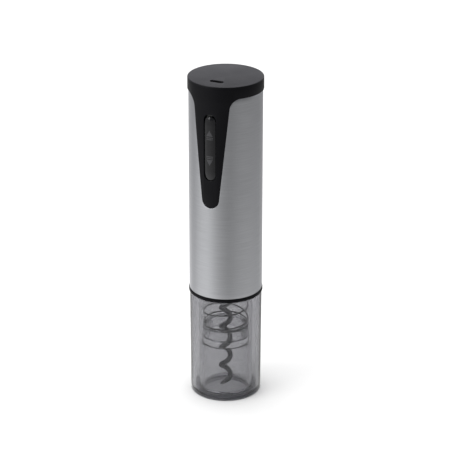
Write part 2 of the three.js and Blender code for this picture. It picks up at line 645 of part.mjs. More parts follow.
// ---- Battery ----
[["left", -1], ["right", 1]].forEach(([name, side]) => {
  const body = turned([
    [0, CELL.z[0]],
    [CELL.r, CELL.z[0]],
    [CELL.r, CELL.z[1]],
    [CELL.tip.r, CELL.z[1]],
    [CELL.tip.r, CELL.z[1] + CELL.tip.rise],
    [0, CELL.z[1] + CELL.tip.rise],
  ], 24);
  add(`battery_cell_${name}`, body.translate([side * CELL.x, CELL.y, 0]), cellBlue);
});

function batteryCradle() {
  const saddle = block([-15.2, 15.2], [-5.8, 1], [170, 218]);
  const cells = [-1, 1].map((side) => post(side * CELL.x, CELL.y, CELL.r + GAP, [165, 222], 24));
  const armNotches = [-1, 1].map((side) => block([side * 22 - 7, side * 22 + 7], [-6, -3.2], [160, 220]));
  return cut(saddle, ...cells, ...armNotches);
}
add("battery_cradle", batteryCradle(), chassisBlack);
add("battery_bridge", block([-10.5, 10.5], [2.2, 5.8], [168.7, 168.98]), zinc);

// ---- Leads ----
const LEAD_R = 0.65;

function lead(points) {
  const path = new THREE.CatmullRomCurve3(points.map((p) => new THREE.Vector3(...p)));
  return solid(swept(path, LEAD_R, 14, 6));
}

[["red", 1, leadRed], ["black", -1, leadBlack]].forEach(([name, side, material]) => {
  const batteryEnd = [[7.6, 3.5, 220.6], [7.2, -2, 221.2], [5.6, -8, 220.4], [4.6, -12.4, 217.4], [4.4, -13.6, 214]];
  const motorEnd = [[5, -2.2, 166.2], [5.2, -5.4, 167.6], [5, -8.2, 170.4], [4.6, -11.6, 173], [4.4, -13.6, 176.6]];
  add(`battery_lead_${name}`, lead(batteryEnd.map(([x, y, z]) => [side * x, y, z])), material);
  add(`motor_lead_${name}`, lead(motorEnd.map(([x, y, z]) => [side * x, y, z])), material);
});

// ---- Screws ----
/** A screw standing on its point: shank from low to neck, head from neck to high. */
const screw = (x, y, { z: [low, neck, high], shankR, headR }) =>
  turned([[0, low], [shankR, low + shankR], [shankR, neck], [headR, neck], [headR, high], [0, high]], 10)
    .translate([x, y, 0]);

BASE_SCREW_ANGLES.forEach((a, i) => {
  add(`base_screw_${i + 1}`, screw(...polar(BASE_SCREW_R, a), BASE_SCREW), zinc);
});
PLATE_SCREW_ANGLES.forEach((a, i) => {
  add(`gearbox_screw_${i + 1}`, screw(...polar(PLATE_SCREW_R, a), PLATE_SCREW), zinc);
});
[-MOTOR_SCREW_X, MOTOR_SCREW_X].forEach((x, i) => {
  // Head down, so it is made standing and then turned over.
  const standing = { ...MOTOR_SCREW, z: MOTOR_SCREW.z.map((z) => -z).reverse() };
  add(`motor_screw_${i + 1}`, screw(0, 0, standing).rotate([180, 0, 0]).translate([x, 0, 0]), zinc);
});

export default opener;
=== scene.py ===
"""A cordless wine opener standing on its smoked clear base, with a plain studio round it.

The pieces are modelled in millimetres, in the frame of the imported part: +Z up, the front faces -Y.
"""

import json
import math

import bmesh
import bpy
from bpy.props import FloatProperty, FloatVectorProperty, PointerProperty
from mathutils import Matrix, Vector


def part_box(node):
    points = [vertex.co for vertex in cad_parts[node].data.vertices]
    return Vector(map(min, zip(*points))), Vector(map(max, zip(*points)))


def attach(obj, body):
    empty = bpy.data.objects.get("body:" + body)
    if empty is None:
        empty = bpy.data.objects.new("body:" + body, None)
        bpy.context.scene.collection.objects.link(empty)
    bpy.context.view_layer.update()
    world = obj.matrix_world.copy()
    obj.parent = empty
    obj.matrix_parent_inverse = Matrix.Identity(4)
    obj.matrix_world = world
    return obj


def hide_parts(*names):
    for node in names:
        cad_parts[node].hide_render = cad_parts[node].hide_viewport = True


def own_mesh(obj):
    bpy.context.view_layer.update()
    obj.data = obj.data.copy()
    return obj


bl_info = {
    "name": "Wine Opener",
    "version": (1, 0, 0),
    "blender": (4, 5, 0),
    "location": "View3D > Sidebar > Wine Opener",
    "description": "Builds a cordless wine opener and its studio",
    "category": "Add Mesh",
}

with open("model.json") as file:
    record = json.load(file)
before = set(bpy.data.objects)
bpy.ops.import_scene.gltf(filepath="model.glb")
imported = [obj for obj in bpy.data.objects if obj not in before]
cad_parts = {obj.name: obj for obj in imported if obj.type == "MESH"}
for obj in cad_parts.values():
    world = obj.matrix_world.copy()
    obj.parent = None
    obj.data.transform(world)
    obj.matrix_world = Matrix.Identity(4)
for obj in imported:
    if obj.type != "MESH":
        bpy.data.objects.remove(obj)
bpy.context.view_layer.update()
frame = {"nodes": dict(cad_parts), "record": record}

MM = 0.001
FULL_TURN = 2 * math.pi
AROUND = 160  # steps round the body of the opener
BASE_AROUND = 180  # steps round the clear base
CLEAR_AROUND = 144  # steps round the clear pieces inside it
ARC = 10  # steps in an edge's rounded outline
VIEW_TURN = math.radians(25)  # from the opener's front to the camera


def box_mm(node):
    """The lowest and highest corners of a CAD node, in millimetres."""
    low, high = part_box(node)
    return low / MM, high / MM


CAP_HIGH = box_mm("top_cap")[1]
STEEL_LOW, STEEL_HIGH = box_mm("steel_sleeve")
RING_LOW, RING_HIGH = box_mm("joint_ring")
BASE_HIGH = box_mm("clear_base")[1]
SLEEVE_LOW, SLEEVE_HIGH = box_mm("guide_sleeve")
SHUTTLE_LOW, SHUTTLE_HIGH = box_mm("shuttle")
SPRING_LOW, SPRING_HIGH = box_mm("spring")
ROCKER_LOW, ROCKER_HIGH = box_mm("rocker_button")
SOCKET_LOW, SOCKET_HIGH = box_mm("charge_socket")
ROCKER_MIDDLE = (ROCKER_LOW.z + ROCKER_HIGH.z) / 2
SOCKET_Y = (SOCKET_LOW.y + SOCKET_HIGH.y) / 2


# ---------------------------------------------------------------- properties


def length(name, description, millimetres):
    """A length that the sidebar shows."""
    return FloatProperty(
        name=name, description=description, default=millimetres * MM, unit="LENGTH", precision=4
    )


def colour(name, description, value):
    """A colour that the sidebar shows."""
    return FloatVectorProperty(
        name=name, description=description, default=value, size=3, subtype="COLOR", min=0, max=1
    )


class OpenerSizes(bpy.types.PropertyGroup):
    """Sizes that a user may want to change."""

    tongue_tip_radius: length("Tongue tip radius", "Radius of the tongue's round lower end", 6.6)
    tongue_tip_height: length("Tongue tip height", "Height of the centre of that round end", 152.2)
    tongue_fillet: length("Tongue fillet", "Radius where the tongue runs out into the skirt", 8)
    tongue_flare: FloatProperty(
        name="Tongue flare",
        description="How far each side of the tongue leans out",
        default=math.radians(6.27),
        subtype="ANGLE",
    )
    well_width: length("Switch well width", "Width of the well that the rocker sits in", 9)
    well_length: length("Switch well length", "Length of the well that the rocker sits in", 47.4)
    neck_radius: length("Neck radius", "Radius of the hole that the bottle goes up", 15.5)
    wall: length("Base wall", "Thickness of the clear base's wall", 2.5)
    worm_radius: length("Worm radius", "Radius of the line that the worm's wire follows", 3.25)
    worm_wire: length("Worm wire radius", "Radius of the worm's wire", 1.75)
    worm_pitch: length("Worm pitch", "Rise of the worm in one turn", 14.4)
    spring_radius: length("Spring radius", "Radius of the line that the spring's wire follows", 15.8)
    spring_wire: length("Spring wire radius", "Radius of the spring's wire", 0.5)
    spring_pitch: length("Spring pitch", "Rise of the spring's open turns", 10.7)
    foot_chamfer: length("Foot chamfer", "Bevel round the clear base's foot", 0.7)


class OpenerColours(bpy.types.PropertyGroup):
    """Colours and finishes that a user may want to change."""

    cap: colour("Cap", "Satin black moulding", (0.0018, 0.0018, 0.0026))
    rocker: colour("Rocker", "Polished black moulding", (0.003, 0.003, 0.0036))
    marks: colour("Marks", "The arrows on the rocker", (0.035, 0.035, 0.037))
    steel: colour("Steel", "Brushed steel", (0.56, 0.568, 0.588))
    smoke: colour("Smoke", "Tint of the clear mouldings", (0.34, 0.34, 0.375))
    worm: colour("Worm", "Dark coating on the worm", (0.06, 0.06, 0.064))
    spring: colour("Spring wire", "Drawn steel wire", (0.03, 0.03, 0.032))
    nylon: colour("Nylon", "Gears and plungers", (0.72, 0.68, 0.58))
    plated: colour("Plated steel", "Screws, pins and the motor", (0.55, 0.55, 0.57))
    bronze: colour("Bronze", "The spindle's bush", (0.42, 0.27, 0.13))
    felt: colour("Felt", "The spindle's seal", (0.16, 0.15, 0.13))
    board: colour("Board", "Circuit boards", (0.02, 0.13, 0.05))
    cell: colour("Cell", "Shrink sleeve on the cells", (0.04, 0.15, 0.4))
    red: colour("Red lead", "Insulation", (0.4, 0.015, 0.012))


class StudioSettings(bpy.types.PropertyGroup):
    """The floor, the lights and the camera."""

    camera_distance: FloatProperty(
        name="Camera distance",
        description="Level distance from the opener's axis to the camera",
        default=1.3926,
        unit="LENGTH",
    )
    camera_height: FloatProperty(
        name="Camera height", description="Height of the camera", default=0.6974, unit="LENGTH"
    )
    camera_turn: FloatProperty(
        name="Camera turn",
        description="Angle from the opener's front to the camera",
        default=VIEW_TURN,
        subtype="ANGLE",
    )
    aim_height: FloatProperty(
        name="Aim height", description="Height that the camera looks at", default=0.1241, unit="LENGTH"
    )
    focal_length: FloatProperty(
        name="Focal length", description="Of the camera's lens", default=174.1, unit="CAMERA"
    )
    key_power: FloatProperty(
        name="Key light", description="Power of the soft light on the left", default=10, unit="POWER"
    )
    top_power: FloatProperty(
        name="Top light", description="Power of the soft light overhead", default=16, unit="POWER"
    )
    floor_tone: colour("Floor", "Pale floor", (0.76, 0.76, 0.76))


# ---------------------------------------------------------------- modelling


def made_verts(made):
    """The vertices among what an operator made."""
    return [item for item in made["geom"] if isinstance(item, bmesh.types.BMVert)]


def turned(outline, steps=AROUND, closed=True):
    """Spins an outline of (radius, height, rounding) round Z. An open one starts and ends on the axis."""
    bm = bmesh.new()
    corners = [bm.verts.new((r, 0, z)) for r, z, _ in outline]
    for one, other in zip(corners, corners[1:]):
        bm.edges.new((one, other))
    if closed:
        bm.edges.new((corners[-1], corners[0]))
    for corner, (_, _, rounding) in zip(corners, outline):
        if rounding:
            bmesh.ops.bevel(
                bm, geom=[corner], offset=rounding, segments=5, profile=0.5, affect="VERTICES", material=-1
            )
    bmesh.ops.spin(
        bm,
        geom=bm.verts[:] + bm.edges[:],
        cent=(0, 0, 0),
        axis=(0, 0, 1),
        angle=FULL_TURN,
        steps=steps,
        use_merge=True,
    )
    bmesh.ops.remove_doubles(bm, verts=bm.verts, dist=1e-4)
    bmesh.ops.recalc_face_normals(bm, faces=bm.faces)
    return bm


def arc(centre_x, centre_z, radius, start, end, steps=ARC):
    """Points along an arc, with angles in radians from +X towards +Z."""
    angles = [start + (end - start) * i / steps for i in range(steps + 1)]
    return [(centre_x + radius * math.cos(a), centre_z + radius * math.sin(a)) for a in angles]


def pill_outline(width, height, centre_z, steps=ARC):
    """The outline of a shape with two straight sides and round ends, upright or lying down."""
    r = min(width, height) / 2
    dx, dz = width / 2 - r, height / 2 - r
    turn = math.pi / 2 if dx > dz else 0
    one_end = arc(dx, centre_z + dz, r, -turn, math.pi - turn, 2 * steps)
    return one_end + arc(-dx, centre_z - dz, r, math.pi - turn, 2 * math.pi - turn, 2 * steps)


def pushed(bm, outline, near, far):
    """Adds a solid with an outline of (x, z), from one depth in Y to another."""
    face = bm.faces.new([bm.verts.new((x, near, z)) for x, z in outline])
    made = bmesh.ops.extrude_face_region(bm, geom=[face])
    bmesh.ops.translate(bm, verts=made_verts(made), vec=(0, far - near, 0))
    bmesh.ops.recalc_face_normals(bm, faces=bm.faces)


def sliced(bm, axis, places):
    """Cuts every face where it crosses each of the places along an axis."""
    normal = Vector((0, 0, 0))
    normal[axis] = 1
    for place in places:
        bmesh.ops.bisect_plane(
            bm,
            geom=bm.verts[:] + bm.edges[:] + bm.faces[:],
            dist=1e-5,
            plane_co=normal * place,
            plane_no=normal,
        )


def spread(low, high, step):
    """Evenly spaced places between two ends."""
    count = max(1, round((high - low) / step))
    return [low + (high - low) * i / count for i in range(1, count)]


def smooth_step(value, low, high):
    """Rises gently from 0 at one value to 1 at another."""
    t = min(1, max(0, (value - low) / (high - low)))
    return t * t * (3 - 2 * t)


def faces_at(bm, axis, place):
    """Faces square to an axis, at a distance along it to either side of the middle."""
    return [
        face
        for face in bm.faces
        if abs(face.normal[axis]) > 0.99 and abs(abs(face.calc_center_median()[axis]) - place) < 0.01
    ]


def rim_edges(bm, keep):
    """Edges of the outer face, at y = 0, where it turns into the sides, if keep(x, z) accepts the place."""
    found = []
    for edge in bm.edges:
        ends = [v.co for v in edge.verts]
        if any(abs(co.y) > 1e-4 for co in ends) or len(edge.link_faces) != 2:
            continue
        sides = [abs(face.normal.y) < 0.5 for face in edge.link_faces]
        middle = (ends[0] + ends[1]) / 2
        if sides[0] != sides[1] and keep(middle.x, middle.z):
            found.append(edge)
    return found


def eased(bm, edges, width, segments=3):
    """Rounds edges over."""
    bmesh.ops.bevel(
        bm,
        geom=edges,
        offset=width,
        segments=segments,
        profile=0.5,
        affect="EDGES",
        material=-1,
        clamp_overlap=True,
    )


def sheet_halves(bm, half, depth):
    """Adds a flat plate: a left half outline of (x, z) and its mirror image, from y = 0 to a depth."""
    for side in (1, -1):
        bm.faces.new([bm.verts.new((side * x, 0, z)) for x, z in half])
    bmesh.ops.remove_doubles(bm, verts=bm.verts, dist=1e-4)
    made = bmesh.ops.extrude_face_region(bm, geom=bm.faces[:])
    bmesh.ops.translate(bm, verts=made_verts(made), vec=(0, depth, 0))
    bmesh.ops.recalc_face_normals(bm, faces=bm.faces)


def wrapped(bm, radius_at, nominal):
    """Bends a flat plate round Z: x becomes an arc at the nominal radius, and y = 0 lies on radius_at(z).

    The plate's flat shape stays in its UV map, in metres.
    """
    flat = bm.loops.layers.uv.new("unrolled")
    for face in bm.faces:
        for loop in face.loops:
            loop[flat].uv = (loop.vert.co.x * MM, loop.vert.co.z * MM)
    for vert in bm.verts:
        x, y, z = vert.co
        radius, angle = radius_at(z) - y, x / nominal
        vert.co = (radius * math.sin(angle), -radius * math.cos(angle), z)


def bend_matrix(along, centre, size):
    """A frame at a point with its Z along a direction and its X level, scaled by a size."""
    z = along.normalized()
    x = Vector((0, 0, 1)).cross(z)
    x = x.normalized() if x.length > 1e-6 else Vector((1, 0, 0))
    y = z.cross(x)
    turn = Matrix((x, y, z)).transposed().to_4x4()
    return Matrix.Translation(centre) @ turn @ Matrix.Scale(size, 4)


def drawn_wire(points, radii, sides=14):
    """Pulls a round section through a list of points, with a radius at each, and closes both ends."""
    bm = bmesh.new()
    count = len(points)
    ways = [points[min(i + 1, count - 1)] - points[max(i - 1, 0)] for i in range(count)]
    frames = [bend_matrix(way, point, radius) for way, point, radius in zip(ways, points, radii)]
    ring = bmesh.ops.create_circle(bm, segments=sides, radius=1, matrix=frames[0], cap_ends=True)["verts"]
    edges = list({edge for vert in ring for edge in vert.link_edges})
    for before, after in zip(frames, frames[1:]):
        made = bmesh.ops.extrude_edge_only(bm, edges=edges)
        ring = made_verts(made)
        edges = [item for item in made["geom"] if isinstance(item, bmesh.types.BMEdge)]
        bmesh.ops.transform(bm, matrix=after @ before.inverted(), verts=ring)
    bmesh.ops.contextual_create(bm, geom=edges)
    bmesh.ops.recalc_face_normals(bm, faces=bm.faces)
    return bm


def joined(*meshes):
    """One bmesh that holds several."""
    whole = bmesh.new()
    for bm in meshes:
        part = bpy.data.meshes.new("part")
        bm.to_mesh(part)
        bm.free()
        whole.from_mesh(part)
        bpy.data.meshes.remove(part)
    return whole


def creased(mesh, degrees):
    """Shades a mesh smooth, but for edges where it turns by more than an angle."""
    mesh.shade_smooth()
    mesh.set_sharp_from_angle(angle=math.radians(degrees))


def settled(name, bm, material):
    """Makes an object from a bmesh in millimetres."""
    bmesh.ops.scale(bm, vec=(MM, MM, MM), verts=bm.verts)
    mesh = bpy.data.meshes.new(name)
    bm.to_mesh(mesh)
    bm.free()
    creased(mesh, 35)
    mesh.materials.append(material)
    piece = bpy.data.objects.new(name, mesh)
    bpy.context.scene.collection.objects.link(piece)
    return piece


def fitted(name, bm, material, body, nodes):
    """A finished piece that rides on a body and stands for CAD nodes."""
    piece = settled(name, bm, material)
    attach(piece, body)
    if nodes:
        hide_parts(*nodes)
    return piece


def cut_with(piece, tool):
    """Cuts a piece with another, and drops the other."""
    modifier = piece.modifiers.new("cut", "BOOLEAN")
    modifier.object = tool
    modifier.operation = "DIFFERENCE"
    modifier.solver = "EXACT"
    shaped = bpy.data.meshes.new_from_object(piece.evaluated_get(bpy.context.evaluated_depsgraph_get()))
    piece.modifiers.clear()
    piece.data = shaped
    bpy.data.objects.remove(tool)


# ---------------------------------------------------------------- materials


def shader(name):
    """A new material with its node tree, its Principled BSDF and its object coordinates."""
    material = bpy.data.materials.new(name)
    material.use_nodes = True
    tree = material.node_tree
    surface = tree.nodes["Principled BSDF"]
    place = tree.nodes.new("ShaderNodeTexCoord")
    return material, tree, surface, place


def dialled(node, values):
    """Sets a node's sockets, by their names."""
    for name, value in values.items():
        node.inputs[name].default_value = value


def noise(tree, coordinates, scale, detail, stretch=(1, 1, 1)):
    """Noise in object or UV space, with its pattern squeezed by a factor along each axis."""
    mapping = tree.nodes.new("ShaderNodeMapping")
    dialled(mapping, {"Scale": stretch})
    texture = tree.nodes.new("ShaderNodeTexNoise")
    dialled(texture, {"Scale": scale, "Detail": detail})
    tree.links.new(coordinates, mapping.inputs["Vector"])
    tree.links.new(mapping.outputs["Vector"], texture.inputs["Vector"])
    return texture.outputs["Fac"]


def ranged(tree, value, low, high):
    """Spreads a noise value, which seldom leaves 0.3 to 0.7, between two numbers."""
    spread_node = tree.nodes.new("ShaderNodeMapRange")
    dialled(spread_node, {"From Min": 0.3, "From Max": 0.7, "To Min": low, "To Max": high})
    tree.links.new(value, spread_node.inputs["Value"])
    return spread_node.outputs["Result"]


def tinted(tree, value, dark, light):
    """Mixes two colours by a value from 0 to 1."""
    mix = tree.nodes.new("ShaderNodeMix")
    mix.data_type = "RGBA"
    dialled(mix, {"A": (*dark, 1), "B": (*light, 1)})
    tree.links.new(value, mix.inputs["Factor"])
    return mix.outputs["Result"]


def bumped(tree, surface, height, strength, depth):
    """Roughens a surface by a pattern, to a depth in metres."""
    bump = tree.nodes.new("ShaderNodeBump")
    dialled(bump, {"Strength": strength, "Distance": depth})
    tree.links.new(height, bump.inputs["Height"])
    tree.links.new(bump.outputs["Normal"], surface.inputs["Normal"])


def shaded(value, factor):
    """A colour made darker or lighter."""
    return tuple(min(1.0, c * factor) for c in value)


def coloured(tree, surface, value, base, darkest, lightest):
    """Varies the surface's colour with a value from 0 to 1."""
    mixed = tinted(tree, value, shaded(base, darkest), shaded(base, lightest))
    tree.links.new(mixed, surface.inputs["Base Color"])


def moulded(name, base, roughness, grain=0.15, specular=0.5):
    """Moulded plastic: a fine spark-eroded grain, with patches handled a little smoother."""
    material, tree, surface, place = shader(name)
    fine = noise(tree, place.outputs["Object"], 2600, 2)
    broad = noise(tree, place.outputs["Object"], 60, 3)
    coloured(tree, surface, ranged(tree, broad, 0, 1), base, 0.88, 1.12)
    tree.links.new(ranged(tree, broad, roughness * 0.93, roughness * 1.07), surface.inputs["Roughness"])
    dialled(surface, {"Specular IOR Level": specular, "Specular Tint": (0.95, 0.95, 1, 1)})
    bumped(tree, surface, fine, grain, 0.00003)
    return material


def polished(name, base, roughness, specular=0.5):
    """Polished black plastic with the faint waviness of a moulding."""
    material, tree, surface, place = shader(name)
    wave = noise(tree, place.outputs["Object"], 220, 2)
    dust = noise(tree, place.outputs["Object"], 1500, 4)
    coloured(tree, surface, dust, base, 1, 1.5)
    tree.links.new(ranged(tree, dust, roughness * 0.8, roughness * 1.3), surface.inputs["Roughness"])
    dialled(surface, {"Specular IOR Level": specular})
    bumped(tree, surface, wave, 0.06, 0.0001)
    return material


def brushed(name, base):
    """Steel brushed round the body: fine level lines that spread a reflection up and down."""
    material, tree, surface, place = shader(name)
    fine = noise(tree, place.outputs["UV"], 1, 3, (90, 9000, 1))
    coarse = noise(tree, place.outputs["UV"], 1, 3, (60, 1500, 1))
    cloudy = noise(tree, place.outputs["Object"], 35, 3)
    coloured(tree, surface, ranged(tree, coarse, 0, 1), base, 0.94, 1.06)
    tree.links.new(ranged(tree, cloudy, 0.3, 0.36), surface.inputs["Roughness"])
    dialled(surface, {"Metallic": 1, "Anisotropic": 0.6, "Anisotropic Rotation": 0.25})
    tangent = tree.nodes.new("ShaderNodeTangent")
    tangent.direction_type = "RADIAL"
    tangent.axis = "Z"
    tree.links.new(tangent.outputs["Tangent"], surface.inputs["Tangent"])
    bumped(tree, surface, fine, 0.12, 0.00002)
    return material


def metal(name, base, roughness, grain=0.1, edge=1.0):
    """Plated or drawn metal with slight blotches. A tarnished one is darker at its edges too."""
    material, tree, surface, place = shader(name)
    blotch = noise(tree, place.outputs["Object"], 240, 4)
    coloured(tree, surface, ranged(tree, blotch, 0, 1), base, 0.85, 1.1)
    tree.links.new(ranged(tree, blotch, roughness * 0.8, roughness * 1.25), surface.inputs["Roughness"])
    dialled(surface, {"Metallic": 1, "Specular Tint": (edge, edge, edge, 1)})
    bumped(tree, surface, noise(tree, place.outputs["Object"], 1800, 3), grain, 0.00003)
    return material


def clear(name, smoke, density, skin=1.0):
    """Smoked clear plastic: a tint at its surfaces, and more along the way through it.

    Shadows and scattered light go straight through, so that the floor and the worm inside are lit.
    """
    material, tree, surface, place = shader(name)
    wave = noise(tree, place.outputs["Object"], 90, 2)
    dialled(surface, {"Base Color": (skin, skin, skin, 1), "Roughness": 0.01})
    dialled(surface, {"IOR": 1.49, "Transmission Weight": 1})
    bumped(tree, surface, wave, 0.04, 0.0001)
    absorb = tree.nodes.new("ShaderNodeVolumeAbsorption")
    dialled(absorb, {"Color": (*smoke, 1), "Density": density})
    straight = tree.nodes.new("ShaderNodeBsdfTransparent")
    dialled(straight, {"Color": (0.95, 0.95, 0.95, 1)})
    path = tree.nodes.new("ShaderNodeLightPath")
    unseen = tree.nodes.new("ShaderNodeMath")
    unseen.operation = "MAXIMUM"
    tree.links.new(path.outputs["Is Shadow Ray"], unseen.inputs[0])
    tree.links.new(path.outputs["Is Diffuse Ray"], unseen.inputs[1])
    mix = tree.nodes.new("ShaderNodeMixShader")
    output = tree.nodes["Material Output"]
    tree.links.new(unseen.outputs["Value"], mix.inputs["Fac"])
    tree.links.new(surface.outputs["BSDF"], mix.inputs[1])
    tree.links.new(straight.outputs["BSDF"], mix.inputs[2])
    tree.links.new(mix.outputs["Shader"], output.inputs["Surface"])
    tree.links.new(absorb.outputs["Volume"], output.inputs["Volume"])
    return material


def pressed_felt(name, base):
    """Felt: short fibres lying in layers."""
    material, tree, surface, place = shader(name)
    fibre = noise(tree, place.outputs["Object"], 1200, 6, (1, 1, 0.3))
    coloured(tree, surface, fibre, base, 0.6, 1.3)
    dialled(surface, {"Roughness": 0.95, "Sheen Weight": 0.3})
    bumped(tree, surface, fibre, 0.6, 0.0002)
    return material


def make_materials(colours):
    """Every finish, by the name of the record's slot that it serves."""
    plain = {key: tuple(getattr(colours, key)) for key in OpenerColours.__annotations__}
    return {
        "cap_plastic": moulded("satin_black", plain["cap"], 0.42, 0.2, 0.17),
        "black_plastic": moulded("moulded_black", plain["cap"], 0.5, 0.15, 0.13),
        "gloss_black": polished("polished_black", plain["rocker"], 0.12, 0.6),
        "marks": moulded("mark_grey", plain["marks"], 0.4, 0.05),
        "brushed_steel": brushed("brushed_steel", plain["steel"]),
        "smoked_clear": clear("smoked_clear", plain["smoke"], 250, 0.86),
        "tube_clear": clear("tube_clear", plain["smoke"], 60, 0.99),
        "faint_clear": clear("faint_clear", plain["smoke"], 50),
        "coated_worm": moulded("coated_worm", plain["worm"], 0.6, 0.1, 0.15),
        "spring_steel": metal("drawn_wire", plain["spring"], 0.4, 0.05, 0.3),
        "gear_nylon": moulded("nylon", plain["nylon"], 0.45, 0.1),
        "plated_steel": metal("plated_steel", plain["plated"], 0.28),
        "sintered_bronze": metal("sintered_bronze", plain["bronze"], 0.5, 0.4),
        "felt": pressed_felt("pressed_felt", plain["felt"]),
        "board_green": polished("solder_mask", plain["board"], 0.35),
        "cell_blue": polished("shrink_sleeve", plain["cell"], 0.3),
        "lead_red": moulded("red_insulation", plain["red"], 0.5, 0.1),
        "lead_black": moulded("black_insulation", plain["cap"], 0.5, 0.1),
    }


FINISHES = {}  # what make_materials() gives, once main() has called it


def sizes():
    """The sizes in the sidebar, in metres and radians."""
    return bpy.context.scene.opener_sizes


def mm(value):
    """Metres to millimetres."""
    return value / MM


# ---------------------------------------------------------------- operators

NOMINAL = 25.7  # radius at which the unrolled outlines are measured
HALF_WRAP = math.pi * NOMINAL
WRAP_PLACES = [HALF_WRAP * (2 * i / AROUND - 1) for i in range(1, AROUND)]  # where an unrolled plate bends
CAP_WALL = 1.3  # thickness of the cap's skirt and tongue
SKIRT_Z = STEEL_HIGH.z - 0.1  # lower edge of the cap's skirt
SKIN_TOP = CAP_HIGH.z - 2.6  # where the skin meets the turned top
TONGUE_RADIUS = 25.62  # how far the tongue's face stands from the axis
TONGUE_GAP = 0.12  # between the tongue and the notch in the steel
SWELL_Z = SKIRT_Z - 9  # where the tongue starts to swell into the skirt
WELL_FRONT, WELL_DEPTH, WELL_WALL = -24.6, 3.6, 1  # the wall round the switch's well
HOLE_WIDTH, HOLE_DEPTH = 9.6, 3.7  # the socket's hole in the cap


def tongue_side(inset, top):
    """The tongue's left edge, unrolled: from the skirt's edge through the fillet and flare to the tip."""
    s = sizes()
    tip_r, tip_z = mm(s.tongue_tip_radius), mm(s.tongue_tip_height)
    fillet, flare = mm(s.tongue_fillet), s.tongue_flare
    fillet_z = top - fillet
    side_x = tip_r / math.cos(flare) + (fillet_z - tip_z) * math.tan(flare)
    fillet_x = side_x + fillet / math.cos(flare)
    bend = arc(-fillet_x, fillet_z, fillet + inset, math.pi / 2, flare)
    tip = arc(0, tip_z, tip_r - inset, math.pi + flare, 1.5 * math.pi)
    return bend + tip


def skin_radius(z):
    """The tongue lies just proud of the steel and swells into the skirt."""
    return TONGUE_RADIUS + (CAP_HIGH.x - TONGUE_RADIUS) * smooth_step(z, SWELL_Z, SKIRT_Z - 0.5)


def on_cap_outline(x, z):
    """Whether a place on the unrolled skin is clear of its top and of its seam at the back."""
    return z < SKIN_TOP - 0.1 and abs(x) < HALF_WRAP - 0.1


def cap_skin():
    """Skirt and tongue in one plate, bent round the body, and open above and at the back's seam."""
    s = sizes()
    width, height = mm(s.well_width), mm(s.well_length)
    well_left = [(x, z) for x, z in pill_outline(width, height, ROCKER_MIDDLE) if x < -1e-6]
    well_top, well_bottom = ROCKER_MIDDLE + height / 2, ROCKER_MIDDLE - height / 2
    half = [(0, SKIN_TOP), (-HALF_WRAP, SKIN_TOP), (-HALF_WRAP, SKIRT_Z)]
    half += tongue_side(TONGUE_GAP, SKIRT_Z)
    half += [(0, well_bottom)] + well_left[::-1] + [(0, well_top)]
    bm = bmesh.new()
    sheet_halves(bm, half, CAP_WALL)
    eased(bm, rim_edges(bm, on_cap_outline), 0.3)
    open_ends = faces_at(bm, 0, HALF_WRAP) + faces_at(bm, 2, SKIN_TOP)
    bmesh.ops.delete(bm, geom=open_ends, context="FACES")
    sliced(bm, 0, WRAP_PLACES)
    sliced(bm, 2, spread(SWELL_Z, SKIRT_Z, 1))
    wrapped(bm, skin_radius, NOMINAL)
    return bm


def cap_top():
    """The turned top, open below where it meets the skin."""
    outer, inner = CAP_HIGH.x, CAP_HIGH.x - CAP_WALL
    top, ceiling = CAP_HIGH.z, CAP_HIGH.z - 2.2
    outline = [
        (0, top, 0),
        (outer, top, 0.6),
        (outer, SKIN_TOP, 0),
        (inner, SKIN_TOP, 0),
        (inner, ceiling, 0.4),
        (0, ceiling, 0),
    ]
    bm = turned(outline, closed=False)
    bmesh.ops.delete(bm, geom=faces_at(bm, 2, SKIN_TOP), context="FACES")
    return bm


def well_frame():
    """The wall of the switch's well, behind the tongue."""
    s = sizes()
    width, height = mm(s.well_width), mm(s.well_length)
    bm = bmesh.new()
    loops = []
    for grow in (0, 2 * WELL_WALL):
        points = pill_outline(width + grow, height + grow, ROCKER_MIDDLE)
        ring = [bm.verts.new((x, WELL_FRONT, z)) for x, z in points]
        loops += [bm.edges.new(pair) for pair in zip(ring, ring[1:] + ring[:1])]
    face = bmesh.ops.bridge_loops(bm, edges=loops)["faces"]
    made = bmesh.ops.extrude_face_region(bm, geom=face)
    bmesh.ops.translate(bm, verts=made_verts(made), vec=(0, WELL_DEPTH, 0))
    bmesh.ops.recalc_face_normals(bm, faces=bm.faces)
    return bm


def lying_pill(width, depth, low, high, flare=0.0):
    """An upright solid where the socket goes, pill-shaped from above, which may widen towards its top."""
    bm = bmesh.new()
    outline = pill_outline(width, depth, SOCKET_Y)
    face = bm.faces.new([bm.verts.new((x, y, low)) for x, y in outline])
    moved = made_verts(bmesh.ops.extrude_face_region(bm, geom=[face]))
    bmesh.ops.translate(bm, verts=moved, vec=(0, 0, high - low))
    if flare:
        grow = Matrix.Diagonal((1 + 2 * flare / width, 1 + 2 * flare / depth, 1, 1))
        bmesh.ops.transform(bm, matrix=grow, verts=moved, space=Matrix.Translation((0, -SOCKET_Y, 0)))
    bmesh.ops.recalc_face_normals(bm, faces=bm.faces)
    return bm


